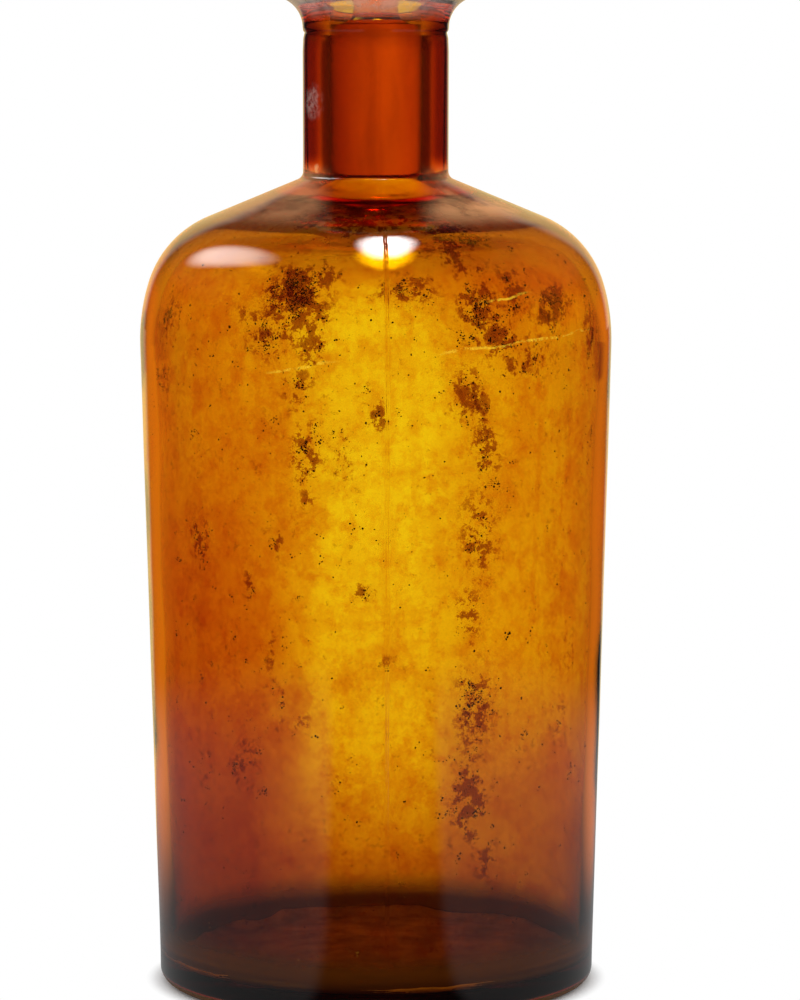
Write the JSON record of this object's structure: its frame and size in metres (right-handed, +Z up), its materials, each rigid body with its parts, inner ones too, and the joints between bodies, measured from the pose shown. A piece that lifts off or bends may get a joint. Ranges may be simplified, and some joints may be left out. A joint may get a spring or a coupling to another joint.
{
  "type": "apothecary bottle",
  "caption": "Round amber glass stock bottle with a domed shoulder, thick neck, flared lip and a ground glass stopper that lifts out.",
  "frame": {"origin": "middle of the ring that the bottle stands on, on the table", "axes": "+Z up along the bottle's axis, -Y the side that the picture shows, +X to that view's right"},
  "size_m": [0.1004, 0.1008, 0.2494],
  "materials": {
    "amber_glass": "blown amber glass, clear and glossy, slightly wavy, bore ground matt",
    "ground_amber_glass": "pressed amber glass, glossy grip, shank ground matt",
    "dried_residue": "dried brown residue, matt and crumbly, thin"
  },
  "bodies": {
    "vessel": {"bottle": "amber_glass", "flared_lip": "amber_glass", "dried_residue": "dried_residue"},
    "stopper": {"stopper": "ground_amber_glass"}
  },
  "joints": [
    {"name": "stopper_lift", "type": "slide", "parent": "vessel", "child": "stopper", "axis": [0, 0, 1], "range_m": [0, 0.06]}
  ]
}
